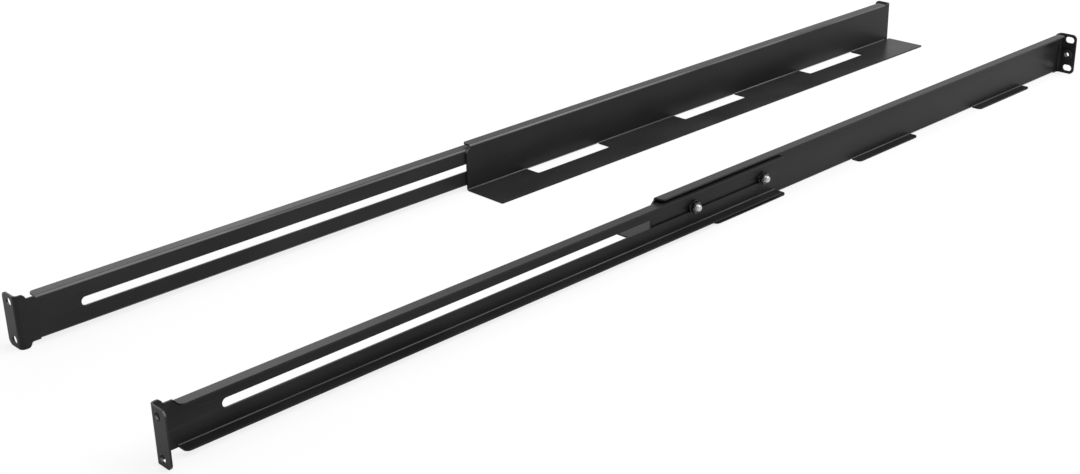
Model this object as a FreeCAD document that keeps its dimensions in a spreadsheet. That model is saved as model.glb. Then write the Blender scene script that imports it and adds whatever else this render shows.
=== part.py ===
"""Pair of adjustable server rack rails, 1U high, lying side by side.

Each rail is a fixed front rail of bent sheet with a ledge for the server, and a rear
bracket that slides along it and is clamped by two nuts on studs. The left rail is drawn;
the right one is its mirror image. Units are millimetres.

Axes: +X towards the front ears, +Y towards the left rail, +Z up. The origin is at the
middle of the pair, on the plane that the ledges lie on.
"""
import FreeCAD
import Part
import os
import Sketcher

Vector = FreeCAD.Vector

# ---------------------------------------------------------------- driving dimensions
DIMENSIONS = (
    # sheet metal
    ("sheet_thick", 1.5, "steel sheet of both rail pieces"),
    ("bend_radius", 1.0, "inside radius of every bend along a rail"),
    ("ear_bend_radius", 2.5, "inside radius of the bends that turn the ears out"),
    ("rail_gap", 210.0, "between the two ledge walls, inner face to inner face"),
    # main rail
    ("rail_length", 674.0, "main rail, rear end to front ear face"),
    ("rail_height", 44.4, "main rail, underside of ledge to top of flange"),
    ("ledge_width", 47.0, "ledge, from the wall's inner face to its free edge"),
    ("flange_reach", 11.0, "top flange, from the wall's inner face to its free edge"),
    ("flange_setback", 4.5, "rear end of the wall to the start of the top flange"),
    ("corner_drop", 7.0, "top of the rail to the foot of the wall's cut-off rear corner"),
    ("flange_nose", 3.5, "corner radius at the rear of the top flange"),
    ("ledge_corner", 1.5, "corner radius of the ledge's free edge"),
    ("window_first", 75.0, "rear end of the rail to the first window"),
    ("window_length", 100.0, "window cut in the ledge"),
    ("window_width", 16.8, "window, from the wall's inner face"),
    ("window_corner", 2.5, "corner radius of a window"),
    ("window_pitch", 212.0, "from one window to the next"),
    ("tab_reach", 10.8, "guide tab, from the wall's inner face to its free edge"),
    ("tab_relief", 1.2, "guide tab's end to the window's end"),
    ("tab_corner", 4.0, "corner radius of a guide tab"),
    # ears
    ("ear_height", 44.4, "both ears"),
    ("ear_corner", 5.0, "corner radius of both ears"),
    ("ear_hole_pitch", 31.75, "between the two fixing holes of an ear"),
    ("front_ear_reach", 20.5, "front ear, from the wall's inner face to its free edge"),
    ("front_ear_slot", 6.8, "fixing slot in the front ear, height"),
    ("front_ear_slot_length", 10.3, "fixing slot in the front ear, end to end"),
    ("front_ear_hole_in", 12.7, "front ear holes, from the wall's inner face"),
    ("front_neck", 5.0, "full-height part of the wall behind the front ear's bend"),
    ("rear_ear_reach", 19.2, "rear ear, from the web's inner face to its free edge"),
    ("rear_ear_hole", 7.0, "fixing hole in the rear ear, diameter"),
    ("rear_ear_hole_in", 9.5, "rear ear holes, from the web's inner face"),
    ("rear_neck", 9.0, "rear ear's face to the end of the full-height part of the web"),
    ("neck_corner", 3.5, "rounded corner of the full-height part"),
    ("neck_root", 2.0, "relief radius where the full-height part meets the web"),
    # extension bracket
    ("extension_length", 650.0, "extension bracket, rear ear face to inner end"),
    ("web_bottom", 4.3, "underside of the bracket's lower flange, above the ledge plane"),
    ("web_height", 36.0, "bracket, over both flanges"),
    ("bracket_flange", 11.2, "bracket flanges, from the web's inner face"),
    ("bracket_flange_start", 17.0, "rear ear's face to the start of the flanges"),
    ("bracket_flange_nose", 4.0, "corner radius at the rear of the bracket's flanges"),
    ("bracket_end_corner", 3.0, "corner radius at the inner end of the bracket's flanges"),
    ("slide_clearance", 0.5, "main rail's wall to the bracket's web"),
    ("slot_start", 53.5, "rear ear's face to the rear end of the slot"),
    ("slot_margin", 14.5, "front end of the slot to the inner end of the bracket"),
    ("slot_width", 7.4, "slot in the web"),
    # how far the rails are drawn out at rest
    ("left_push_in", 36.4, "left bracket, pushed in from where its slot stops it"),
    ("right_push_in", 1.0, "the same for the right bracket"),
    ("rear_stagger", 15.5, "right rear ear stands this far behind the left one"),
    # clamp hardware
    ("stud_first", 52.5, "rear end of the main rail to the rear stud"),
    ("stud_pitch", 94.0, "rear stud to front stud"),
    ("stud_diameter", 6.0, "threaded clamp stud"),
    ("stud_length", 11.0, "stud, over its flush head"),
    ("stud_head", 8.0, "stud's flush head, diameter"),
    ("stud_chamfer", 0.6, "chamfer at the stud's tip"),
    ("press_clearance", 0.02, "pressed hardware in its hole, per side"),
    ("washer_outer", 12.0, "washer, outside diameter"),
    ("washer_bore", 6.4, "washer, bore"),
    ("washer_thick", 1.2, "washer"),
    ("washer_gap", 0.2, "web to washer, nut loosened by hand"),
    ("nut_flats", 10.0, "nut, across flats"),
    ("nut_height", 3.2, "thin nut"),
    ("nut_gap", 0.02, "washer to nut"),
    ("thread_clearance", 0.05, "nut's bore on the stud, per side"),
    ("nut_chamfer_drop", 0.9, "height of the chamfer at a nut's corners"),
    # threaded insert in the front ear
    ("insert_head", 11.0, "insert's body behind the ear, diameter"),
    ("insert_height", 4.1, "insert's body behind the ear"),
    ("insert_shank", 8.7, "insert's shank in the ear, diameter"),
    ("insert_bore", 5.0, "insert's threaded bore, minor diameter"),
    ("insert_chamfer", 0.5, "chamfer on the insert's body"),
)

doc = FreeCAD.newDocument("server_rails")
sheet = doc.addObject("Spreadsheet::Sheet", "Sizes")


class Size:
    """A length held twice: as an expression on the sheet and as its present value."""

    def __init__(self, text, value):
        self.text = text
        self.value = value

    @staticmethod
    def of(other):
        return other if isinstance(other, Size) else Size(repr(float(other)), float(other))

    def combine(self, other, sign, value):
        return Size("(" + self.text + sign + other.text + ")", value)

    def __add__(self, other):
        other = Size.of(other)
        return self.combine(other, " + ", self.value + other.value)

    def __sub__(self, other):
        other = Size.of(other)
        return self.combine(other, " - ", self.value - other.value)

    def __mul__(self, other):
        other = Size.of(other)
        return self.combine(other, " * ", self.value * other.value)

    def __truediv__(self, other):
        other = Size.of(other)
        return self.combine(other, " / ", self.value / other.value)

    def __rsub__(self, other):
        return Size.of(other) - self

    __radd__ = __add__
    __rmul__ = __mul__

    def __neg__(self):
        return Size.of(0) - self


class Sizes:
    """The sheet's values by name."""


size = Sizes()
for row, (name, number, meaning) in enumerate(DIMENSIONS, start=1):
    sheet.set("A%d" % row, name)
    sheet.set("B%d" % row, str(number))
    sheet.set("C%d" % row, meaning)
    sheet.setAlias("B%d" % row, name)
    setattr(size, name, Size("Sizes." + name, number))
doc.recompute()

ZERO = Size.of(0)
thick = size.sheet_thick
bend_outer = size.sheet_thick + size.bend_radius
ear_outer = size.sheet_thick + size.ear_bend_radius
web_top = size.web_bottom + size.web_height
web_middle = size.web_bottom + size.web_height / 2
ear_middle = size.ear_height / 2
slot_end = size.extension_length - size.slot_margin


# ---------------------------------------------------------------- modelling helpers
def bind(target, prop, length):
    """Drive a property of an object from the sheet."""
    target.setExpression(prop, length.text)


def new_body(label):
    body = doc.addObject("PartDesign::Body", label)
    body.Label = label
    return body


def place(item, x=ZERO, y=ZERO, z=ZERO):
    for axis, length in (("x", x), ("y", y), ("z", z)):
        bind(item, "Placement.Base." + axis, length)


def new_sketch(body, name, plane, offset=ZERO):
    """A sketch on one of the body's origin planes, moved along that plane's normal."""
    sketch = body.newObject("Sketcher::SketchObject", name)
    for feature in body.Origin.OriginFeatures:
        if feature.Role == plane:
            sketch.AttachmentSupport = [(feature, "")]
    sketch.MapMode = "FlatFace"
    bind(sketch, "AttachmentOffset.Base.z", offset)
    return sketch


def pin_point(sketch, geometry, end, axis, length):
    """Hold one coordinate of a point, measured from the sketch's origin."""
    if length.text == ZERO.text:
        other_axis = -2 if axis == "X" else -1
        sketch.addConstraint(Sketcher.Constraint("PointOnObject", geometry, end, other_axis))
        return
    sketch.addConstraint(
        Sketcher.Constraint("Distance" + axis, -1, 1, geometry, end, length.value))
    sketch.setExpression("Constraints[%d]" % (sketch.ConstraintCount - 1), length.text)


def pin_radius(sketch, geometry, radius):
    sketch.addConstraint(Sketcher.Constraint("Radius", geometry, radius.value))
    sketch.setExpression("Constraints[%d]" % (sketch.ConstraintCount - 1), radius.text)


def direction(start, end):
    """Unit step along the axis that joins two corners of an outline."""
    dx = end[0].value - start[0].value
    dy = end[1].value - start[1].value
    if abs(dx) > abs(dy):
        return (1 if dx > 0 else -1, 0)
    return (0, 1 if dy > 0 else -1)


def outline(sketch, corners):
    """Draw a closed outline. A corner is (x, y) or, where it is rounded, (x, y, radius)."""
    stops = []
    for index, corner in enumerate(corners):
        x, y = corner[0], corner[1]
        if len(corner) == 2:
            stops.append(((x, y), (x, y), None, None))
            continue
        radius = corner[2]
        way_in = direction(corners[index - 1], corner)
        way_out = direction(corner, corners[(index + 1) % len(corners)])
        first = (x - radius * way_in[0], y - radius * way_in[1])
        last = (x + radius * way_out[0], y + radius * way_out[1])
        centre = (first[0] + radius * way_out[0], first[1] + radius * way_out[1])
        left_turn = way_in[0] * way_out[1] - way_in[1] * way_out[0] > 0
        stops.append((first, last, radius, (centre, left_turn)))
    lines = []
    for index, stop in enumerate(stops):
        start = stop[1]
        end = stops[(index + 1) % len(stops)][0]
        line = sketch.addGeometry(
            Part.LineSegment(point(start), point(end)), False)
        for spot, end_number in ((start, 1), (end, 2)):
            pin_point(sketch, line, end_number, "X", spot[0])
            pin_point(sketch, line, end_number, "Y", spot[1])
        lines.append(line)
    for index, (first, last, radius, turn) in enumerate(stops):
        if radius is None:
            continue
        centre, left_turn = turn
        add_arc(sketch, centre, radius, first, last, left_turn, lines[index - 1], lines[index])


def point(spot):
    return Vector(spot[0].value, spot[1].value, 0)


def add_arc(sketch, centre, radius, first, last, left_turn, line_in, line_out):
    """Round a corner between the end of one line and the start of the next."""
    start, end = (first, last) if left_turn else (last, first)
    middle = point(centre)
    arc = Part.ArcOfCircle(
        Part.Circle(middle, Vector(0, 0, 1), radius.value),
        angle_of(point(start) - middle), angle_of(point(end) - middle))
    number = sketch.addGeometry(arc, False)
    at_first, at_last = (1, 2) if left_turn else (2, 1)
    sketch.addConstraint(Sketcher.Constraint("Coincident", number, at_first, line_in, 2))
    sketch.addConstraint(Sketcher.Constraint("Coincident", number, at_last, line_out, 1))
    pin_radius(sketch, number, radius)


def angle_of(step):
    """Angle of a step in the sketch's plane, from its X axis."""
    turn = Vector(1, 0, 0).getAngle(step)
    return turn if step.y >= 0 else -turn


def circle(sketch, x, y, diameter):
    number = sketch.addGeometry(Part.Circle(point((x, y)), Vector(0, 0, 1), diameter.value / 2))
    pin_point(sketch, number, 3, "X", x)
    pin_point(sketch, number, 3, "Y", y)
    pin_radius(sketch, number, diameter / 2)


def slot_outline(sketch, x_start, x_end, y, width):
    """A slot along the sketch's X axis with full-round ends."""
    half = width / 2
    upper = sketch.addGeometry(Part.LineSegment(
        point((x_end - half, y + half)), point((x_start + half, y + half))), False)
    lower = sketch.addGeometry(Part.LineSegment(
        point((x_start + half, y - half)), point((x_end - half, y - half))), False)
    for line, left, right, height in ((upper, 2, 1, y + half), (lower, 1, 2, y - half)):
        pin_point(sketch, line, left, "X", x_start + half)
        pin_point(sketch, line, right, "X", x_end - half)
        pin_point(sketch, line, left, "Y", height)
        pin_point(sketch, line, right, "Y", height)
    quarter = angle_of(Vector(0, 1, 0))
    for x, turn, start, end in ((x_start + half, quarter, (upper, 2), (lower, 1)),
                                (x_end - half, -quarter, (lower, 2), (upper, 1))):
        arc = sketch.addGeometry(Part.ArcOfCircle(
            Part.Circle(point((x, y)), Vector(0, 0, 1), half.value),
            turn, turn + 2 * quarter), False)
        sketch.addConstraint(Sketcher.Constraint("Coincident", arc, 1, *start))
        sketch.addConstraint(Sketcher.Constraint("Coincident", arc, 2, *end))
        pin_point(sketch, arc, 3, "X", x)


def pad(body, sketch, length, backwards=False):
    feature = body.newObject("PartDesign::Pad", sketch.Name + "_pad")
    feature.Profile = sketch
    feature.Reversed = backwards
    bind(feature, "Length", length)
    return feature


def pocket(body, sketch, depth, backwards=False):
    """Cut along the sketch's normal, or against it if backwards."""
    feature = body.newObject("PartDesign::Pocket", sketch.Name + "_cut")
    feature.Profile = sketch
    feature.Reversed = not backwards
    bind(feature, "Length", depth)
    return feature


def leaf(body, name, plane, corners, offset=ZERO):
    """A flat wall of sheet, one sheet thickness along the plane's normal."""
    sketch = new_sketch(body, name, plane, offset)
    outline(sketch, corners)
    return pad(body, sketch, thick)


def side_leaf(body, name, corners):
    """A flat upright wall of sheet on the XZ plane, whose normal points to -Y."""
    sketch = new_sketch(body, name, "XZ_Plane")
    outline(sketch, corners)
    return pad(body, sketch, thick, backwards=True)


def bend(body, name, plane, corner, step_a, step_b, offset, length, inner=None):
    """A quarter ring of sheet round an outside corner of the folded part.

    The corner is where the two outside faces would meet. The steps are unit
    directions from it along those two faces, in the sketch's plane.
    """
    sketch = new_sketch(body, name, plane, offset)
    inner = size.bend_radius if inner is None else inner
    outer = inner + thick

    def spot(along_a, along_b):
        return (corner[0] + along_a * step_a[0] + along_b * step_b[0],
                corner[1] + along_a * step_a[1] + along_b * step_b[1])

    start_out = spot(outer, ZERO)
    start_in = spot(outer, thick)
    end_in = spot(thick, outer)
    end_out = spot(ZERO, outer)
    centre = spot(outer, outer)
    lines = []
    for first, last in ((start_out, start_in), (end_in, end_out)):
        line = sketch.addGeometry(Part.LineSegment(point(first), point(last)), False)
        for place_on_line, end_number in ((first, 1), (last, 2)):
            pin_point(sketch, line, end_number, "X", place_on_line[0])
            pin_point(sketch, line, end_number, "Y", place_on_line[1])
        lines.append(line)
    turns_left = step_a[0] * step_b[1] - step_a[1] * step_b[0] < 0
    add_arc(sketch, centre, inner, start_in, end_in, turns_left, lines[0], lines[1])
    add_arc(sketch, centre, outer, end_out, start_out, not turns_left, lines[1], lines[0])
    return pad(body, sketch, length)


def hole_pair(body, name, plane, x, width, offset, depth, slot_length=None,
              middle_hole=None):
    """The two fixing holes of an ear, round or slotted sideways.

    An insert's hole goes between them if it is given.
    """
    sketch = new_sketch(body, name, plane, offset)
    for side in (-1, 1):
        height = ear_middle + size.ear_hole_pitch / 2 * side
        if slot_length is None:
            circle(sketch, x, height, width)
        else:
            slot_outline(sketch, x - slot_length / 2, x + slot_length / 2, height, width)
    if middle_hole is not None:
        circle(sketch, x, ear_middle, middle_hole)
    return pocket(body, sketch, depth)


def repeat_along_rail(body, originals, pitch, count):
    pattern = body.newObject("PartDesign::LinearPattern", "windows_and_tabs")
    pattern.Originals = originals
    for feature in body.Origin.OriginFeatures:
        if feature.Role == "X_Axis":
            pattern.Direction = (feature, [""])
    pattern.Occurrences = count
    bind(pattern, "Length", pitch * (count - 1))
    body.Tip = pattern
    return pattern


# ---------------------------------------------------------------- main rail
WINDOW_COUNT = 3


def make_main_rail():
    """Wall with an inward ledge, an outward top flange, guide tabs and the front ear.

    Local frame: X from the rear end, Y = 0 on the wall's inner face with +Y outwards,
    Z = 0 on the ledge's underside.
    """
    body = new_body("left_main_rail")
    length = size.rail_length
    wall_end = length - ear_outer
    neck_start = wall_end - size.front_neck
    wall_top = size.rail_height - bend_outer
    inner_fold = -(bend_outer - thick)

    side_leaf(body, "wall", [
        (ZERO, bend_outer), (neck_start, bend_outer), (neck_start, ZERO),
        (wall_end, ZERO), (wall_end, size.ear_height), (neck_start, size.ear_height),
        (neck_start, wall_top), (size.flange_setback, wall_top),
        (ZERO, size.rail_height - size.corner_drop)])
    bend(body, "ledge_bend", "YZ_Plane", (thick, ZERO), (-1, 0), (0, 1), ZERO, neck_start)
    leaf(body, "ledge", "XY_Plane", [
        (ZERO, -size.ledge_width, size.ledge_corner),
        (length, -size.ledge_width, size.ledge_corner),
        (length, inner_fold), (ZERO, inner_fold)])

    flange_end = neck_start - size.bend_radius
    bend(body, "flange_bend", "YZ_Plane", (ZERO, size.rail_height), (0, -1), (1, 0),
         size.flange_setback, flange_end - size.flange_setback)
    leaf(body, "top_flange", "XY_Plane", [
        (size.flange_setback, bend_outer), (flange_end, bend_outer),
        (flange_end, size.flange_reach, size.bend_radius),
        (size.flange_setback, size.flange_reach, size.flange_nose)],
        size.rail_height - thick)

    bend(body, "front_ear_bend", "XY_Plane", (length, ZERO), (-1, 0), (0, 1),
         ZERO, size.ear_height, size.ear_bend_radius)
    leaf(body, "front_ear", "YZ_Plane", [
        (ear_outer, ZERO), (size.front_ear_reach, ZERO, size.ear_corner),
        (size.front_ear_reach, size.ear_height, size.ear_corner),
        (ear_outer, size.ear_height)], length - thick)
    hole_pair(body, "front_ear_slots", "YZ_Plane", size.front_ear_hole_in,
              size.front_ear_slot, length - thick, thick,
              slot_length=size.front_ear_slot_length,
              middle_hole=size.insert_shank + size.press_clearance * 2)

    studs = new_sketch(body, "stud_holes", "XZ_Plane")
    for along in (size.stud_first, size.stud_first + size.stud_pitch):
        circle(studs, along, web_middle, size.stud_head + size.press_clearance * 2)
    pocket(body, studs, thick, backwards=True)

    window = new_sketch(body, "window", "XY_Plane")
    window_end = size.window_first + size.window_length
    outline(window, [
        (size.window_first, -size.window_width, size.window_corner),
        (window_end, -size.window_width, size.window_corner),
        (window_end, bend_outer), (size.window_first, bend_outer)])
    window_cut = pocket(body, window, bend_outer)

    tab_start = size.window_first + size.tab_relief
    tab_length = size.window_length - size.tab_relief * 2
    tab_bend = bend(body, "tab_bend", "YZ_Plane", (ZERO, ZERO), (0, 1), (1, 0),
                    tab_start, tab_length)
    tab = leaf(body, "guide_tab", "XY_Plane", [
        (tab_start, bend_outer), (tab_start + tab_length, bend_outer),
        (tab_start + tab_length, size.tab_reach, size.tab_corner),
        (tab_start, size.tab_reach, size.tab_corner)])
    repeat_along_rail(body, [window_cut, tab_bend, tab], size.window_pitch, WINDOW_COUNT)
    return body


# ---------------------------------------------------------------- extension bracket
def make_extension():
    """Channel with a long slot, nested against the outside of the main rail's wall.

    Local frame: X = 0 on the rear ear's face, Y = 0 on the web's inner face with +Y
    outwards, Z = 0 on the plane that the ledge lies on.
    """
    body = new_body("left_extension")
    length = size.extension_length
    bottom = size.web_bottom
    start = size.bracket_flange_start
    low_fold = bottom + bend_outer
    high_fold = web_top - bend_outer

    side_leaf(body, "web", [
        (ear_outer, ZERO), (size.rear_neck, ZERO, size.neck_corner),
        (size.rear_neck, bottom, size.neck_root), (start, bottom), (start, low_fold),
        (length, low_fold), (length, high_fold), (start, high_fold), (start, web_top),
        (size.rear_neck, web_top, size.neck_root),
        (size.rear_neck, size.ear_height, size.neck_corner),
        (ear_outer, size.ear_height)])
    bend(body, "lower_bend", "YZ_Plane", (ZERO, bottom), (0, 1), (1, 0),
         start, length - start)
    bend(body, "upper_bend", "YZ_Plane", (ZERO, web_top), (0, -1), (1, 0),
         start, length - start)
    for name, height in (("lower_flange", bottom), ("upper_flange", web_top - thick)):
        leaf(body, name, "XY_Plane", [
            (start, bend_outer), (length, bend_outer),
            (length, size.bracket_flange, size.bracket_end_corner),
            (start, size.bracket_flange, size.bracket_flange_nose)], height)

    bend(body, "rear_ear_bend", "XY_Plane", (ZERO, ZERO), (1, 0), (0, 1),
         ZERO, size.ear_height, size.ear_bend_radius)
    leaf(body, "rear_ear", "YZ_Plane", [
        (ear_outer, ZERO), (size.rear_ear_reach, ZERO, size.ear_corner),
        (size.rear_ear_reach, size.ear_height, size.ear_corner),
        (ear_outer, size.ear_height)])
    hole_pair(body, "rear_ear_holes", "YZ_Plane", size.rear_ear_hole_in,
              size.rear_ear_hole, ZERO, thick)

    slot = new_sketch(body, "slot", "XZ_Plane")
    slot_outline(slot, size.slot_start, slot_end, web_middle, size.slot_width)
    pocket(body, slot, thick, backwards=True)
    return body


# ---------------------------------------------------------------- hardware
def revolve(body, name, corners):
    """Turn a half outline, drawn as (distance from axis, place along axis), about +Y."""
    sketch = new_sketch(body, name, "XY_Plane")
    outline(sketch, corners)
    feature = body.newObject("PartDesign::Revolution", name + "_turn")
    feature.Profile = sketch
    feature.ReferenceAxis = (sketch, ["V_Axis"])
    feature.Angle = 360
    return feature


def make_stud(label):
    """Clinch stud: a flush head pressed into the wall and a threaded shank."""
    body = new_body(label)
    radius = size.stud_diameter / 2
    revolve(body, "stud", [
        (ZERO, ZERO), (size.stud_head / 2, ZERO), (size.stud_head / 2, thick),
        (radius, thick), (radius, size.stud_length - size.stud_chamfer),
        (radius - size.stud_chamfer, size.stud_length), (ZERO, size.stud_length)])
    return body


def make_washer(label):
    body = new_body(label)
    revolve(body, "washer", [
        (size.washer_bore / 2, ZERO), (size.washer_outer / 2, ZERO),
        (size.washer_outer / 2, size.washer_thick), (size.washer_bore / 2, size.washer_thick)])
    return body


def make_nut(label):
    """Hexagon nut with its outer corners chamfered and a plain bore for the thread."""
    body = new_body(label)
    flats = new_sketch(body, "hexagon", "XZ_Plane")
    half = size.nut_flats / 2
    corner = size.nut_flats / 3 ** 0.5
    hexagon = [(corner * 0.5, half), (-corner * 0.5, half), (-corner, ZERO),
               (-corner * 0.5, -half), (corner * 0.5, -half), (corner, ZERO)]
    outline(flats, hexagon)
    circle(flats, ZERO, ZERO, size.stud_diameter + size.thread_clearance * 2)
    pad(body, flats, size.nut_height, backwards=True)
    chamfer = new_sketch(body, "corner_chamfer", "XY_Plane")
    outside = corner + size.nut_chamfer_drop
    outline(chamfer, [
        (half, size.nut_height), (outside, size.nut_height),
        (outside, size.nut_height - size.nut_chamfer_drop),
        (corner, size.nut_height - size.nut_chamfer_drop)])
    groove = body.newObject("PartDesign::Groove", "corner_chamfer_cut")
    groove.Profile = chamfer
    groove.ReferenceAxis = (chamfer, ["V_Axis"])
    groove.Angle = 360
    return body


def make_insert(label):
    """Threaded insert pressed into the front ear, its body standing on the rear side."""
    body = new_body(label)
    bore = size.insert_bore / 2
    head = size.insert_head / 2
    revolve(body, "insert", [
        (bore, ZERO), (size.insert_shank / 2, ZERO), (size.insert_shank / 2, thick),
        (head, thick), (head, thick + size.insert_height - size.insert_chamfer),
        (head - size.insert_chamfer, thick + size.insert_height),
        (bore, thick + size.insert_height)])
    return body


# ---------------------------------------------------------------- assembly
# Pull-out: from the rear ear's face to the rear end of the main rail.
stop_pullout = slot_end - size.stud_diameter / 2 - size.stud_pitch - size.stud_first
pullout = {"left": stop_pullout - size.left_push_in, "right": stop_pullout - size.right_push_in}
overall = pullout["right"] + size.rail_length
rear = {"left": size.rear_stagger - overall / 2, "right": -overall / 2}
rail_rear = {side: rear[side] + pullout[side] for side in rear}
wall_y = size.rail_gap / 2
web_y = wall_y + thick + size.slide_clearance
washer_y = web_y + thick + size.washer_gap
nut_y = washer_y + size.washer_thick + size.nut_gap
stud_places = {"rear": size.stud_first, "front": size.stud_first + size.stud_pitch}

left_pieces = []


def add_left(body, x, y, z=ZERO):
    place(body, x, y, z)
    left_pieces.append(body)


add_left(make_main_rail(), rail_rear["left"], wall_y)
add_left(make_extension(), rear["left"], web_y)
for end, along in stud_places.items():
    stud_x = rail_rear["left"] + along
    add_left(make_stud("left_" + end + "_stud"), stud_x, wall_y, web_middle)
    add_left(make_washer("left_" + end + "_washer"), stud_x, washer_y, web_middle)
    add_left(make_nut("left_" + end + "_nut"), stud_x, nut_y, web_middle)
insert = make_insert("left_ear_insert")
insert.Placement.Rotation = FreeCAD.Rotation(Vector(0, 0, 1), 90)
add_left(insert, rail_rear["left"] + size.rail_length, wall_y + size.front_ear_hole_in,
         ear_middle)


def make_right(body):
    """The same piece of the right rail: mirrored in the XZ plane and moved along X."""
    name = body.Label.replace("left_", "right_")
    mirrored = doc.addObject("Part::Mirroring", name)
    mirrored.Label = name
    mirrored.Source = body
    mirrored.Normal = Vector(0, 1, 0)
    with_bracket = "extension" in name
    shift = (rear["right"] - rear["left"]) if with_bracket else (
        rail_rear["right"] - rail_rear["left"])
    place(mirrored, shift)
    return mirrored


pieces = left_pieces + [make_right(body) for body in left_pieces]
doc.recompute()

# ---------------------------------------------------------------- checks and export
for item in doc.Objects:
    if "Invalid" in item.State or "Error" in item.State:
        raise RuntimeError("failed: " + item.Label)
os.makedirs("parts", exist_ok=True)
for piece in pieces:
    shape = piece.Shape
    if shape.isNull() or not shape.isValid() or len(shape.Solids) != 1:
        raise RuntimeError("bad shape: " + piece.Label)
    print("%-22s %8.1f mm3" % (piece.Label, shape.Volume))
    shape.exportStep(os.path.join("parts", piece.Label + ".step"))
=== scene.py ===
import math
import bmesh
import bpy
from mathutils import Matrix, Vector


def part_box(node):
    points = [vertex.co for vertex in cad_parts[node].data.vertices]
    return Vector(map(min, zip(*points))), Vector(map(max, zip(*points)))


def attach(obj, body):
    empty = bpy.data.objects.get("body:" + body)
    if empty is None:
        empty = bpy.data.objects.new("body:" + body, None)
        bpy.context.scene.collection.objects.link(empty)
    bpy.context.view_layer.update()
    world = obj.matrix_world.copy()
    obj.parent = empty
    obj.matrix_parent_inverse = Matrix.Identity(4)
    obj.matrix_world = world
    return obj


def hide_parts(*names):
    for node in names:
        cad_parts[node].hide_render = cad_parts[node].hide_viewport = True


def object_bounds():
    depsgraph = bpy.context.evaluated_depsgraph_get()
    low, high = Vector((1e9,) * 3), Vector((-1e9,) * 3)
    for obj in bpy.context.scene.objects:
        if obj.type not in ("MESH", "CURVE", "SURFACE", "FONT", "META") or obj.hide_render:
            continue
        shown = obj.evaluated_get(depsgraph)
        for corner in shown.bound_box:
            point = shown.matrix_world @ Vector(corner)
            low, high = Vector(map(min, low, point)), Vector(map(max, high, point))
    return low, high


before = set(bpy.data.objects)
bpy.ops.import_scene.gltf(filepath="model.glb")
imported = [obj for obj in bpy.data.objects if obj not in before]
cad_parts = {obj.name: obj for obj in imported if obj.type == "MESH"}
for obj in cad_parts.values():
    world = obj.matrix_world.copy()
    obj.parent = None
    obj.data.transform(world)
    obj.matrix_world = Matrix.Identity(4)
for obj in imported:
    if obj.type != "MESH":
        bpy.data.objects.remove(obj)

solid_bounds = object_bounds()

# ------------------------------------------------------------------------------------
# Main rails. Each is one blank of 1.5 mm cold-rolled steel, laser cut and folded on a
# press brake into wall, ledge, top flange, guide tabs and front ear, then powder coated
# semi-gloss black. The coat rounds every cut edge.
MM = 0.001
COAT_EDGE = 0.28 * MM
COAT_BLACK = (0.0175, 0.0175, 0.0185, 1.0)
COAT_DUSTY = (0.024, 0.024, 0.025, 1.0)
# Colour of the painted highlight along bends and level edges, far lighter than the coat.
COAT_PAINTED_HIGHLIGHT = (0.155, 0.155, 0.158, 1.0)
COAT_WORN = (0.045, 0.045, 0.046, 1.0)
LEDGE_TOP = 1.7 * MM
SAME_POINT = 0.002 * MM
SAME_PLANE = math.radians(0.4)
SOFT_EDGE_ANGLE = math.radians(32)
EVEN = (1.0, 1.0, 1.0)
# A colour Mix node's sockets, which share their names with those of its other kinds.
MIX_SHARE, MIX_FIRST, MIX_SECOND, MIX_COLOUR = 0, 6, 7, 2


def noise(tree, scale, detail, stretch=EVEN, roughness=0.5):
    """Noise on object coordinates, stretched along the axes."""
    where = tree.nodes.new("ShaderNodeTexCoord")
    mapping = tree.nodes.new("ShaderNodeMapping")
    mapping.inputs["Scale"].default_value = stretch
    texture = tree.nodes.new("ShaderNodeTexNoise")
    texture.inputs["Scale"].default_value = scale
    texture.inputs["Detail"].default_value = detail
    texture.inputs["Roughness"].default_value = roughness
    tree.links.new(where.outputs["Object"], mapping.inputs["Vector"])
    tree.links.new(mapping.outputs["Vector"], texture.inputs["Vector"])
    return texture.outputs["Fac"]


def remap(tree, value, low, high, to_low, to_high, curve="LINEAR"):
    """Stretch part of a value's range over another range."""
    node = tree.nodes.new("ShaderNodeMapRange")
    node.interpolation_type = curve
    for entry, number in (("From Min", low), ("From Max", high),
                          ("To Min", to_low), ("To Max", to_high)):
        node.inputs[entry].default_value = number
    tree.links.new(value, node.inputs["Value"])
    return node.outputs["Result"]


def maths(tree, operation, first, second=None, third=None):
    """A math node in a shader or geometry tree. Inputs are sockets or numbers."""
    node = tree.nodes.new("ShaderNodeMath")
    node.operation = operation
    for entry, value in enumerate((first, second, third)):
        if isinstance(value, bpy.types.NodeSocket):
            tree.links.new(value, node.inputs[entry])
        elif value is not None:
            node.inputs[entry].default_value = value
    return node.outputs["Value"]


def axes_of(tree, coordinates):
    """X, Y and Z of the object coordinates or of the normal."""
    where = tree.nodes.new("ShaderNodeTexCoord")
    parts = tree.nodes.new("ShaderNodeSeparateXYZ")
    tree.links.new(where.outputs[coordinates], parts.inputs["Vector"])
    return parts.outputs


def shader(name):
    """A material with a Principled shader, and its node tree."""
    material = bpy.data.materials.new(name)
    material.use_nodes = True
    tree = material.node_tree
    return material, tree, tree.nodes["Principled BSDF"]


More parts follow.
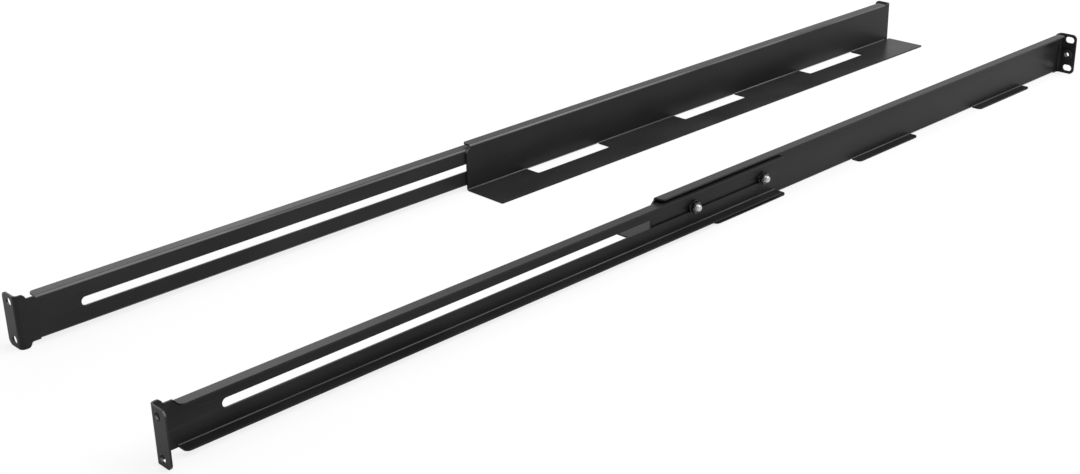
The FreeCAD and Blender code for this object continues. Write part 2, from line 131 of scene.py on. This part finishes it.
def mottled(name, colours, tones, glosses, cloud, grain, relief):
    """A surface whose colour and roughness drift with a cloud, over a fine relief.

    tones is the part of the cloud's range over which the two colours blend, cloud and
    grain are the settings of two noises, and relief is a bump's strength and height.
    """
    material, tree, surface = shader(name)
    drift = noise(tree, *cloud)
    colour = tree.nodes.new("ShaderNodeMix")
    colour.data_type = "RGBA"
    colour.inputs[MIX_FIRST].default_value, colour.inputs[MIX_SECOND].default_value = colours
    tree.links.new(remap(tree, drift, *tones, 0.0, 1.0), colour.inputs[MIX_SHARE])
    tree.links.new(colour.outputs[MIX_COLOUR], surface.inputs["Base Color"])
    tree.links.new(remap(tree, drift, 0.3, 0.7, *glosses), surface.inputs["Roughness"])
    bump = tree.nodes.new("ShaderNodeBump")
    bump.inputs["Strength"].default_value, bump.inputs["Distance"].default_value = relief
    tree.links.new(noise(tree, *grain), bump.inputs["Height"])
    tree.links.new(bump.outputs["Normal"], surface.inputs["Normal"])
    return material, tree, surface


def tint(tree, surface, share, colour):
    """Turn part of a surface to another colour, by a share from 0 to 1."""
    mix = tree.nodes.new("ShaderNodeMix")
    mix.data_type = "RGBA"
    tree.links.new(share, mix.inputs[MIX_SHARE])
    tree.links.new(surface.inputs["Base Color"].links[0].from_socket, mix.inputs[MIX_FIRST])
    mix.inputs[MIX_SECOND].default_value = colour
    tree.links.new(mix.outputs[MIX_COLOUR], surface.inputs["Base Color"])


def painted_bend_highlight(tree):
    """1 along bends and cut edges that run level, where a highlight is painted, else 0."""
    normal = axes_of(tree, "Normal")
    across, along, upright = (maths(tree, "ABSOLUTE", normal[axis])
                              for axis in ("Y", "X", "Z"))
    level = maths(tree, "MAXIMUM", across, along)
    slanting = maths(tree, "MULTIPLY", maths(tree, "MULTIPLY", level, upright), 2.0)
    edge = remap(tree, slanting, 0.35, 0.95, 0.0, 1.0, "SMOOTHSTEP")
    uneven = remap(tree, noise(tree, 14.0, 2.0, (0.5, 1.0, 1.0)), 0.35, 0.62, 0.35, 1.0)
    return maths(tree, "MULTIPLY", edge, uneven)


def powder_coat(name, folded=True):
    """Semi-gloss black powder coat: fine orange peel, uneven gloss, a painted highlight on the
    bends.
    """
    material, tree, surface = mottled(
        name, (COAT_BLACK, COAT_DUSTY), tones=(0.35, 0.7), glosses=(0.28, 0.36),
        cloud=(22.0, 4.0, (0.6, 1.0, 1.0)), grain=(1350.0, 2.0, EVEN, 0.6),
        relief=(0.2, 0.12 * MM))
    surface.inputs["IOR"].default_value = 1.5
    surface.inputs["Specular IOR Level"].default_value = 0.10
    if folded:
        # Painted highlight: bends and level cut edges turn much lighter, in place of the lamps'
        # gleam on them.
        tint(tree, surface, painted_bend_highlight(tree), COAT_PAINTED_HIGHLIGHT)
    return material, tree, surface


def rubbed_ledge(tree, surface):
    """Fine lengthwise marks on the ledge, where the server is slid in and out."""
    low_down = maths(tree, "LESS_THAN", axes_of(tree, "Object")["Z"], LEDGE_TOP)
    marks = noise(tree, 620.0, 3.0, (0.02, 1.0, 1.0), 0.7)
    lines = remap(tree, marks, 0.6, 0.76, 0.0, 0.6)
    tint(tree, surface, maths(tree, "MULTIPLY", low_down, lines), COAT_WORN)


def add_piece(name, work, mesh, body, stands_for, even_shading=False):
    """Put a finished mesh into the scene for the CAD nodes that it stands for."""
    for face in work.faces:
        face.smooth = True
    work.to_mesh(mesh)
    work.free()
    mesh.set_sharp_from_angle(angle=SOFT_EDGE_ANGLE)
    piece = bpy.data.objects.new(name, mesh)
    bpy.context.scene.collection.objects.link(piece)
    if even_shading:
        piece.modifiers.new("even shading", "WEIGHTED_NORMAL").keep_sharp = True
    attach(piece, body)
    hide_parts(*stands_for)


def coated_sheet(node_name, piece_name, body, material):
    """A copy of a folded sheet with its cut edges rounded by the coat."""
    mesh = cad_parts[node_name].data.copy()
    mesh.name = piece_name
    mesh.materials.clear()
    mesh.materials.append(material)
    work = bmesh.new()
    work.from_mesh(mesh)
    bmesh.ops.remove_doubles(work, verts=work.verts, dist=SAME_POINT)
    bmesh.ops.dissolve_limit(work, angle_limit=SAME_PLANE, verts=work.verts,
                             edges=work.edges)
    sharp = [edge for edge in work.edges
             if edge.is_manifold and edge.calc_face_angle(0.0) > SOFT_EDGE_ANGLE]
    bmesh.ops.bevel(work, geom=sharp, offset=COAT_EDGE, segments=2, profile=0.6,
                    affect="EDGES", clamp_overlap=True, harden_normals=False)
    add_piece(piece_name, work, mesh, body, (node_name,),
              even_shading=True)


rail_coat, rail_tree, rail_surface = powder_coat("main_rail_coat")
rubbed_ledge(rail_tree, rail_surface)
for side in ("left", "right"):
    coated_sheet(side + "_main_rail", side + "_folded_main_rail", "fixed_rails", rail_coat)

# ------------------------------------------------------------------------------------
# Rear brackets. A channel folded from the same coated sheet, with a long slot. The
# washers and the main rail's wall rub it as it is drawn out and pushed in, which leaves
# a faint polished track and fine lengthwise scratches on both sides of the slot.
SLOT_MIDDLE = 22.3 * MM
TRACK_HALF_WIDTH = 6.2 * MM
FACES_SIDEWAYS = 0.7


def sliding_wear(tree, surface, height, half_width):
    """Lighter scratches along X, within a band round a height on the web."""
    off_middle = maths(tree, "SUBTRACT", axes_of(tree, "Object")["Z"], height)
    band = remap(tree, maths(tree, "ABSOLUTE", off_middle), half_width * 1.25,
                 half_width * 0.4, 0.0, 1.0, "SMOOTHERSTEP")
    sideways = maths(tree, "ABSOLUTE", axes_of(tree, "Normal")["Y"])
    on_web = maths(tree, "GREATER_THAN", sideways, FACES_SIDEWAYS)
    scratches = noise(tree, 900.0, 3.0, (0.012, 1.0, 1.0), 0.7)
    lines = remap(tree, scratches, 0.56, 0.74, 0.0, 0.8)
    share = maths(tree, "MULTIPLY", band, lines)
    tint(tree, surface, maths(tree, "MULTIPLY", share, on_web), COAT_WORN)


bracket_coat, bracket_tree, bracket_surface = powder_coat("bracket_coat")
sliding_wear(bracket_tree, bracket_surface, SLOT_MIDDLE, TRACK_HALF_WIDTH)
for side in ("left", "right"):
    coated_sheet(side + "_extension", side + "_slotted_bracket", side + "_bracket",
                 bracket_coat)

# ------------------------------------------------------------------------------------
# Clamp studs. M6 flush-head studs of zinc-plated steel, pressed into the wall before it is
# coated, so the head is black with the wall and level with its inner face. The rolled
# thread is masked from the coat and stands out through the slot.
ZINC = (0.56, 0.57, 0.58, 1.0)
ZINC_DULL = (0.40, 0.40, 0.41, 1.0)
STUD_RADIUS = 3.0 * MM
THREAD_PITCH = 1.0 * MM
THREAD_DEPTH = 0.56 * MM
FLANK_STEEPNESS = 1.5
CREST_CLIP = 0.35
STUD_LENGTH = 11.0 * MM
STUD_CHAMFER = 0.7 * MM
STUD_HEAD_RADIUS = 4.0 * MM
STUD_COLUMNS = 41
STUD_ROWS = 151
STUD_WELD = 0.004 * MM
SHEET = 1.5 * MM
WALL_INNER_FACE = 105.0 * MM
STUD_SPACING = 94.0 * MM


def zinc_plate(name, bright, dull):
    """Zinc plate with a passivated bloom and a fine grain."""
    material, _, surface = mottled(
        name, (bright, dull), tones=(0.35, 0.65), glosses=(0.34, 0.48),
        cloud=(420.0, 3.0), grain=(5200.0, 2.0), relief=(0.15, 0.03 * MM))
    surface.inputs["Metallic"].default_value = 1.0
    return material


def stud_row_tree():
    """Geometry Nodes: a row of flush-head studs with a helical thread, heads at Z = 0."""
    tree = bpy.data.node_groups.new("stud row", "GeometryNodeTree")
    sockets = tree.interface
    for name, kind in (("Stud Radius", "NodeSocketFloat"), ("Thread Pitch", "NodeSocketFloat"),
                       ("Thread Depth", "NodeSocketFloat"), ("Stud Length", "NodeSocketFloat"),
                       ("Tip Chamfer", "NodeSocketFloat"), ("Head Radius", "NodeSocketFloat"),
                       ("Head Thickness", "NodeSocketFloat"), ("Spacing", "NodeSocketVector"),
                       ("Count", "NodeSocketInt"), ("Turn", "NodeSocketRotation"),
                       ("Material", "NodeSocketMaterial")):
        sockets.new_socket(name, in_out="INPUT", socket_type=kind)
    sockets.new_socket("Geometry", in_out="OUTPUT", socket_type="NodeSocketGeometry")
    size = tree.nodes.new("NodeGroupInput").outputs
    result = tree.nodes.new("NodeGroupOutput")

    def field(operation, *values):
        return maths(tree, operation, *values)

    # One shell: its columns go round the stud, its rows run up it and across both ends.
    grid = tree.nodes.new("GeometryNodeMeshGrid")
    grid.inputs["Size X"].default_value = 1.0
    grid.inputs["Size Y"].default_value = 1.0
    grid.inputs["Vertices X"].default_value = STUD_COLUMNS
    grid.inputs["Vertices Y"].default_value = STUD_ROWS
    place = tree.nodes.new("GeometryNodeInputPosition")
    split = tree.nodes.new("ShaderNodeSeparateXYZ")
    tree.links.new(place.outputs["Position"], split.inputs["Vector"])
    around = field("ADD", split.outputs["X"], 0.5)
    along = field("ADD", split.outputs["Y"], 0.5)
    span = field("MULTIPLY_ADD", size["Head Radius"], 2.0, size["Stud Length"])
    travel = field("SUBTRACT", field("MULTIPLY", along, span), size["Head Radius"])
    height = field("MAXIMUM", field("MINIMUM", travel, size["Stud Length"]), 0.0)
    past_head = field("MAXIMUM", field("MULTIPLY", travel, -1.0), 0.0)
    past_tip = field("MAXIMUM", field("SUBTRACT", travel, size["Stud Length"]), 0.0)

    # Thread: a triangle wave with flattened crests that climbs one pitch a turn.
    turns = field("DIVIDE", height, size["Thread Pitch"])
    phase = field("FRACT", field("SUBTRACT", turns, around))
    slope = field("ABSOLUTE", field("MULTIPLY_ADD", phase, 2.0, -1.0))
    groove = field("MULTIPLY_ADD", slope, FLANK_STEEPNESS, -CREST_CLIP)
    groove = field("MINIMUM", field("MAXIMUM", groove, 0.0), 1.0)
    cut = field("MULTIPLY", groove, size["Thread Depth"])
    shank = field("SUBTRACT", size["Stud Radius"], cut)
    left_over = field("SUBTRACT", size["Stud Length"], height)
    narrowest = field("SUBTRACT", size["Stud Radius"], size["Tip Chamfer"])
    shank = field("MINIMUM", shank, field("ADD", narrowest, left_over))
    shank = field("SUBTRACT", shank, past_tip)
    head = field("SUBTRACT", size["Head Radius"], past_head)
    in_head = field("LESS_THAN", height, size["Head Thickness"])
    step = field("MULTIPLY", field("SUBTRACT", head, shank), in_head)
    radius = field("MAXIMUM", field("ADD", shank, step), 0.0)

    angle = field("MULTIPLY", around, math.tau)
    moved = tree.nodes.new("ShaderNodeCombineXYZ")
    tree.links.new(field("MULTIPLY", field("COSINE", angle), radius), moved.inputs["X"])
    tree.links.new(field("MULTIPLY", field("SINE", angle), radius), moved.inputs["Y"])
    tree.links.new(height, moved.inputs["Z"])
    wrap = tree.nodes.new("GeometryNodeSetPosition")
    tree.links.new(grid.outputs["Mesh"], wrap.inputs["Geometry"])
    tree.links.new(moved.outputs["Vector"], wrap.inputs["Position"])
    weld = tree.nodes.new("GeometryNodeMergeByDistance")
    weld.inputs["Distance"].default_value = STUD_WELD
    tree.links.new(wrap.outputs["Geometry"], weld.inputs["Geometry"])

    row = tree.nodes.new("GeometryNodeMeshLine")
    tree.links.new(size["Count"], row.inputs["Count"])
    tree.links.new(size["Spacing"], row.inputs["Offset"])
    spread = tree.nodes.new("GeometryNodeInstanceOnPoints")
    tree.links.new(row.outputs["Mesh"], spread.inputs["Points"])
    tree.links.new(weld.outputs["Geometry"], spread.inputs["Instance"])
    tree.links.new(size["Turn"], spread.inputs["Rotation"])
    realize = tree.nodes.new("GeometryNodeRealizeInstances")
    tree.links.new(spread.outputs["Instances"], realize.inputs["Geometry"])
    paint = tree.nodes.new("GeometryNodeSetMaterial")
    tree.links.new(realize.outputs["Geometry"], paint.inputs["Geometry"])
    tree.links.new(size["Material"], paint.inputs["Material"])
    tree.links.new(paint.outputs["Geometry"], result.inputs["Geometry"])
    return tree


def grow(tree, name, settings):
    """Run a geometry tree once and return its result as a plain mesh."""
    seed = bpy.data.objects.new(name, bpy.data.meshes.new(name))
    bpy.context.scene.collection.objects.link(seed)
    modifier = seed.modifiers.new(name, "NODES")
    modifier.node_group = tree
    for item in tree.interface.items_tree:
        if item.item_type == "SOCKET" and item.name in settings:
            modifier[item.identifier] = settings[item.name]
    bpy.context.view_layer.update()
    ready = seed.evaluated_get(bpy.context.evaluated_depsgraph_get())
    mesh = bpy.data.meshes.new_from_object(ready)
    bpy.data.objects.remove(seed)
    return mesh


def outward_turn(side):
    """Turns a piece made along +Z to stand out from a rail's wall."""
    return Matrix.Rotation(math.radians(-90.0 if side == "left" else 90.0), 4, "X")


def middle_of(node_name):
    low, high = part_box(node_name)
    return (low + high) / 2


def add_hardware(name, mesh, body, stands_for):
    """Turn a piece's faces outward and put it into the scene."""
    work = bmesh.new()
    work.from_mesh(mesh)
    bmesh.ops.recalc_face_normals(work, faces=work.faces)
    add_piece(name, work, mesh, body, stands_for)


stud_zinc = zinc_plate("stud_zinc", ZINC, ZINC_DULL)
head_coat, _, _ = powder_coat("stud_head_coat", folded=False)
stud_tree = stud_row_tree()
for side in ("left", "right"):
    wall_face = WALL_INNER_FACE if side == "left" else -WALL_INNER_FACE
    mesh = grow(stud_tree, side + "_clamp_studs", {
        "Stud Radius": STUD_RADIUS, "Thread Pitch": THREAD_PITCH,
        "Thread Depth": THREAD_DEPTH, "Stud Length": STUD_LENGTH,
        "Tip Chamfer": STUD_CHAMFER, "Head Radius": STUD_HEAD_RADIUS,
        "Head Thickness": SHEET, "Spacing": (STUD_SPACING, 0.0, 0.0), "Count": 2,
        "Turn": outward_turn(side).to_euler(), "Material": stud_zinc})
    rear_stud = middle_of(side + "_rear_stud")
    mesh.transform(Matrix.Translation((rear_stud.x, wall_face, rear_stud.z)))
    head_slot = len(mesh.materials)
    mesh.materials.append(head_coat)
    for face in mesh.polygons:
        if abs(face.center.y) < WALL_INNER_FACE + SHEET:
            face.material_index = head_slot
    add_hardware(side + "_clamp_studs", mesh, "fixed_rails",
                 (side + "_rear_stud", side + "_front_stud"))

# ------------------------------------------------------------------------------------
# Washers. Stamped M6 flat washers, black zinc plated, with the slight roll that the
# punch leaves on the upper edges. They slide out along the stud as the nut is undone.
WASHER_OUTER = 6.0 * MM
WASHER_BORE = 3.2 * MM
WASHER_THICK = 1.2 * MM
STAMPED_EDGE = 0.22 * MM
ROUND_STEPS = 72
PLATE_BLACK = (0.011, 0.011, 0.012, 1.0)
PLATE_GREY = (0.026, 0.026, 0.028, 1.0)


def turned_shell(name, rings, material):
    """A closed shell from rings, each a function of angle giving (radius, height)."""
    mesh = bpy.data.meshes.new(name)
    work = bmesh.new()
    loops = []
    for ring in rings:
        loop = []
        for step in range(ROUND_STEPS):
            angle = math.tau * step / ROUND_STEPS
            radius, height = ring(angle)
            loop.append(work.verts.new(
                (radius * math.cos(angle), radius * math.sin(angle), height)))
        loops.append(loop)
    for number, loop in enumerate(loops):
        after = loops[(number + 1) % len(loops)]
        for step in range(ROUND_STEPS):
            beside = (step + 1) % ROUND_STEPS
            work.faces.new((loop[step], loop[beside], after[beside], after[step]))
    work.to_mesh(mesh)
    work.free()
    mesh.materials.append(material)
    return mesh


def plain_ring(radius, height):
    return lambda angle: (radius, height)


def rounded_corner(radius, height, roll, outwards):
    """Rings round an upper edge that a punch has rolled over."""
    rings = []
    for quarter in (0, 1, 2, 3):
        angle = math.radians(30.0 * quarter)
        rings.append(plain_ring(radius - outwards * roll * (1 - math.cos(angle)),
                                height - roll * (1 - math.sin(angle))))
    return rings


def thread_onto_stud(mesh, node_name, side, thickness):
    """Move a piece made upright on the origin to its place on a stud."""
    mesh.transform(Matrix.Translation(middle_of(node_name)) @ outward_turn(side)
                   @ Matrix.Translation((0.0, 0.0, -thickness / 2)))


black_plate, _, _ = mottled(
    "black_plate", (PLATE_BLACK, PLATE_GREY), tones=(0.35, 0.65), glosses=(0.28, 0.42),
    cloud=(300.0, 3.0), grain=(4200.0, 2.0), relief=(0.2, 0.03 * MM))
for side in ("left", "right"):
    for end in ("rear", "front"):
        node_name = side + "_" + end + "_washer"
        rings = (rounded_corner(WASHER_OUTER, WASHER_THICK, STAMPED_EDGE, 1)
                 + rounded_corner(WASHER_BORE, WASHER_THICK, STAMPED_EDGE / 2, -1)[::-1]
                 + [plain_ring(WASHER_BORE, 0.0), plain_ring(WASHER_OUTER, 0.0)])
        mesh = turned_shell(side + "_" + end + "_flat_washer", rings, black_plate)
        thread_onto_stud(mesh, node_name, side, WASHER_THICK)
        add_hardware(side + "_" + end + "_flat_washer", mesh, node_name + "_body",
                     (node_name,))

# ------------------------------------------------------------------------------------
# Nuts. Thin M6 hexagon nuts, cold formed and black zinc plated, with both faces chamfered
# at the corners and a tapped, countersunk bore. Each clamps the bracket over its slot.
NUT_HALF_FLATS = 5.0 * MM
NUT_HEIGHT = 3.2 * MM
NUT_BORE = 3.05 * MM
NUT_COUNTERSINK = 0.45 * MM
NUT_GROOVE = 0.25 * THREAD_DEPTH
NUT_CHAMFER_START = 4.75 * MM
NUT_CHAMFER_SLOPE = math.tan(math.radians(27.0))
NUT_ROWS = 20


def hexagon(angle):
    """Distance from the middle to a hexagon's side, flats facing +Y and -Y."""
    sector = math.radians(60.0)
    return NUT_HALF_FLATS / math.cos((angle + sector) % sector - sector / 2)


def nut_corner(top):
    """Where the conical chamfer cuts a hexagon's sides."""
    def ring(angle):
        radius = hexagon(angle)
        drop = max(0.0, radius - NUT_CHAMFER_START) * NUT_CHAMFER_SLOPE
        return radius, (NUT_HEIGHT - drop) if top else drop
    return ring


def tapped_ring(bore, groove, height):
    """A ring of a tapped bore, whose groove climbs one pitch a turn."""
    def ring(angle):
        phase = (height / THREAD_PITCH - angle / math.tau) % 1.0
        return bore + groove * (1.0 - abs(2.0 * phase - 1.0)), height
    return ring


tapped = NUT_HEIGHT - 2 * NUT_COUNTERSINK
nut_thread = [tapped_ring(NUT_BORE, NUT_GROOVE, NUT_COUNTERSINK + tapped * row / NUT_ROWS)
              for row in range(NUT_ROWS + 1)]
nut_rings = ([plain_ring(NUT_BORE + NUT_COUNTERSINK, 0.0)] + nut_thread
             + [plain_ring(NUT_BORE + NUT_COUNTERSINK, NUT_HEIGHT),
                plain_ring(NUT_CHAMFER_START, NUT_HEIGHT), nut_corner(True),
                nut_corner(False), plain_ring(NUT_CHAMFER_START, 0.0)])
for side in ("left", "right"):
    for end in ("rear", "front"):
        node_name = side + "_" + end + "_nut"
        mesh = turned_shell(side + "_" + end + "_thin_nut", nut_rings, black_plate)
        thread_onto_stud(mesh, node_name, side, NUT_HEIGHT)
        add_hardware(side + "_" + end + "_thin_nut", mesh, node_name + "_body",
                     (node_name,))

# ------------------------------------------------------------------------------------
# Ear inserts. M6 threaded inserts of zinc-plated steel, pressed into the front ears from
# behind and coated with the rail, so that only the masked thread in the bore is bright.
INSERT_BODY = 5.5 * MM
INSERT_SHANK = 4.35 * MM
INSERT_BORE = 2.5 * MM
INSERT_GROOVE = 0.8 * THREAD_DEPTH
INSERT_HEIGHT = 4.1 * MM
INSERT_EDGE = 0.4 * MM
INSERT_ROWS = 30
# The bore's zinc is a darker copy of the studs' zinc: painted shade in the deep bore.
BORE_SHADED_LIGHT = (0.30, 0.30, 0.31, 1.0)
BORE_SHADED_DARK = (0.16, 0.16, 0.16, 1.0)

bore_zinc_painted_shade = zinc_plate("bore_zinc_painted_shade", BORE_SHADED_LIGHT, BORE_SHADED_DARK)
insert_total = SHEET + INSERT_HEIGHT
insert_thread = [tapped_ring(INSERT_BORE, INSERT_GROOVE, insert_total * row / INSERT_ROWS)
                 for row in range(1, INSERT_ROWS)]
insert_rings = ([plain_ring(INSERT_BORE + INSERT_EDGE, 0.0)] + insert_thread
                + [plain_ring(INSERT_BORE + INSERT_EDGE, insert_total)]
                + rounded_corner(INSERT_BODY, insert_total, INSERT_EDGE, 1)[::-1]
                + [plain_ring(INSERT_BODY, SHEET), plain_ring(INSERT_SHANK, SHEET),
                   plain_ring(INSERT_SHANK, 0.0)])
bare_faces = range(ROUND_STEPS, (INSERT_ROWS - 1) * ROUND_STEPS)
for side in ("left", "right"):
    node_name = side + "_ear_insert"
    mesh = turned_shell(side + "_threaded_insert", insert_rings, head_coat)
    mesh.materials.append(bore_zinc_painted_shade)
    for number in bare_faces:
        mesh.polygons[number].material_index = 1
    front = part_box(node_name)[1].x
    middle = middle_of(node_name)
    backwards = Matrix.Rotation(math.radians(-90.0), 4, "Y")
    mesh.transform(Matrix.Translation((front, middle.y, middle.z)) @ backwards)
    add_hardware(side + "_threaded_insert", mesh, "fixed_rails", (node_name,))

# ------------------------------------------------------------------------------------
# Studio: a pale floor under the rails, a white surround, and three large soft lamps.
FLOOR_HALF = 9.0
FLOOR_PALE = (0.93, 0.93, 0.93, 1.0)
WHITE = (1.0, 1.0, 1.0, 1.0)
SKY_LIGHT = 0.4


def seen_shares(tree, direct, gloss):
    """Two shares for rays that are seen directly and in a gloss or glass, 0 for the rest."""
    ray = tree.nodes.new("ShaderNodeLightPath").outputs
    mirrored = maths(tree, "MAXIMUM", ray["Is Glossy Ray"], ray["Is Transmission Ray"])
    return maths(tree, "MULTIPLY_ADD", ray["Is Camera Ray"], direct,
                 maths(tree, "MULTIPLY", mirrored, gloss))


# White to the eye and in a gloss, and a dimmer sky for the light that it gives.
world = bpy.data.worlds.new("studio")
bpy.context.scene.world = world
world.use_nodes = True
sky = world.node_tree
background = sky.nodes["Background"]
background.inputs["Color"].default_value = WHITE
sky_strength = remap(sky, seen_shares(sky, 1.0, 1.0), 0.0, 1.0, SKY_LIGHT, 1.0)
sky.links.new(sky_strength, background.inputs["Strength"])

# The floor is part white of its own to the eye, and the rest is lit and holds the shadow.
floor_mesh = bpy.data.meshes.new("floor")
low = solid_bounds[0][2]
floor_mesh.from_pydata([(-FLOOR_HALF, -FLOOR_HALF, low), (FLOOR_HALF, -FLOOR_HALF, low),
                        (FLOOR_HALF, FLOOR_HALF, low), (-FLOOR_HALF, FLOOR_HALF, low)],
                       [], [(0, 1, 2, 3)])
floor = bpy.data.objects.new("floor", floor_mesh)
bpy.context.scene.collection.objects.link(floor)
floor_paint, floor_tree, floor_surface = shader("floor_paint")
floor_surface.inputs["Base Color"].default_value = FLOOR_PALE
floor_surface.inputs["Roughness"].default_value = 0.9
floor_surface.inputs["Specular IOR Level"].default_value = 0.0
floor_white = floor_tree.nodes.new("ShaderNodeEmission")
floor_white.inputs["Color"].default_value = WHITE
floor_blend = floor_tree.nodes.new("ShaderNodeMixShader")
for source, target in (
        (seen_shares(floor_tree, 0.82, 0.3), floor_blend.inputs[0]),
        (floor_surface.outputs["BSDF"], floor_blend.inputs[1]),
        (floor_white.outputs["Emission"], floor_blend.inputs[2]),
        (floor_blend.outputs["Shader"], floor_tree.nodes["Material Output"].inputs["Surface"])):
    floor_tree.links.new(source, target)
floor_mesh.materials.append(floor_paint)

for lamp_name, place, width, depth, power in (
        ("overhead softbox", (0.3, 0.2, 2.6), 2.2, 2.2, 27.0),
        ("side softbox", (1.3, -1.0, 1.85), 2.4, 0.8, 46.0),
        ("back softbox", (0.65, 2.35, 1.4), 1.5, 1.2, 12.0)):
    lamp = bpy.data.lights.new(lamp_name, "AREA")
    lamp.shape = "RECTANGLE"
    lamp.size = width
    lamp.size_y = depth
    lamp.energy = power
    holder = bpy.data.objects.new(lamp_name, lamp)
    holder.location = place
    holder.rotation_euler = (-Vector(place)).to_track_quat("-Z", "Y").to_euler()
    bpy.context.scene.collection.objects.link(holder)

# Camera: above and behind the rear ears, looking along the rails.
CAMERA_PLACE = Vector((-1.02595, -0.94923, 0.54864))
CAMERA_FORWARD = Vector((0.63335, 0.66604, -0.39403))
CAMERA_RIGHT = Vector((0.71828, -0.69544, -0.02100))
camera_data = bpy.data.cameras.new("camera")
camera_data.sensor_width = 36.0
camera_data.lens = 53.51
camera_data.clip_start = 0.01
camera = bpy.data.objects.new("camera", camera_data)
camera_up = CAMERA_RIGHT.cross(CAMERA_FORWARD)
turn = Matrix((CAMERA_RIGHT, camera_up, -CAMERA_FORWARD)).transposed()
camera.matrix_world = Matrix.Translation(CAMERA_PLACE) @ turn.to_4x4()
bpy.context.scene.collection.objects.link(camera)
bpy.context.scene.camera = camera
bpy.context.scene.view_settings.view_transform = "Standard"
